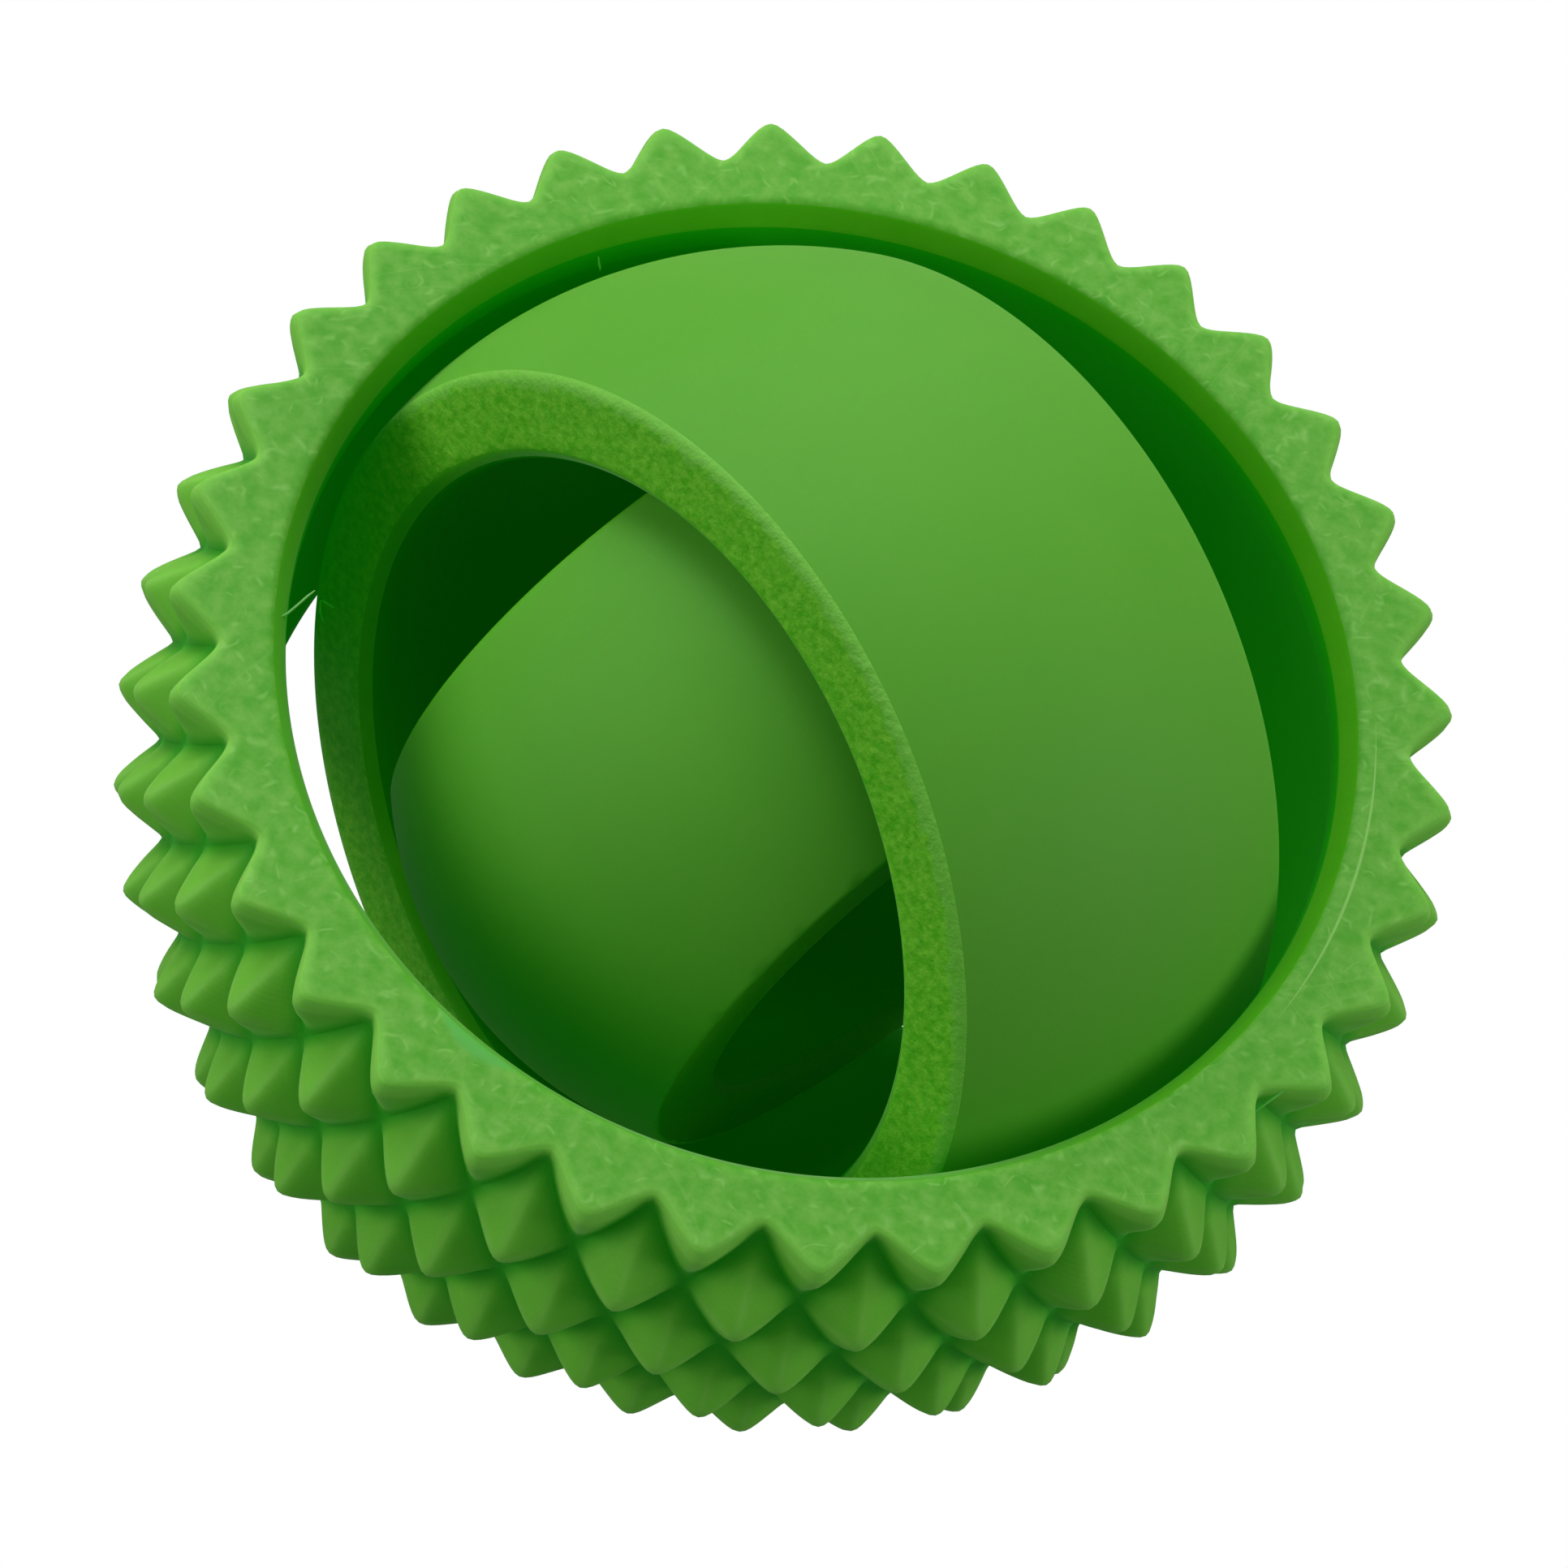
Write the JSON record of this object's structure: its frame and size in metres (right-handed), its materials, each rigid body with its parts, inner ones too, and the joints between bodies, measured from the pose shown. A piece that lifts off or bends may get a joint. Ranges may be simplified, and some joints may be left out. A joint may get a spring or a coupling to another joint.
{
  "type": "gyroscopic fidget ring toy",
  "caption": "Hand-held fidget toy of loose concentric rings: a spiked outer ring holds smooth spherical rings that tumble inside one another.",
  "frame": {"origin": "common centre of the three concentric rings", "axes": "+Z along the outer ring's axis, +X through a spike tip of its middle row"},
  "size_m": [0.0499, 0.05, 0.0392],
  "materials": {
    "green_plastic": "satin printed plastic, slightly translucent, scuffed on the flat faces"
  },
  "bodies": {
    "outer": {"outer_ring": "green_plastic"},
    "middle": {"middle_ring": "green_plastic"},
    "inner": {"inner_ring": "green_plastic"}
  },
  "joints": [
    {"name": "middle_tilt", "type": "hinge", "parent": "outer", "child": "middle", "pos_m": [0, 0, 0], "axis": [0.8049, -0.5934, 0], "continuous": true},
    {"name": "inner_tilt", "type": "hinge", "parent": "middle", "child": "inner", "pos_m": [-0.00003, 0.00027, 0.00016], "axis": [-0.1389, -0.1855, -0.9728], "continuous": true}
  ]
}
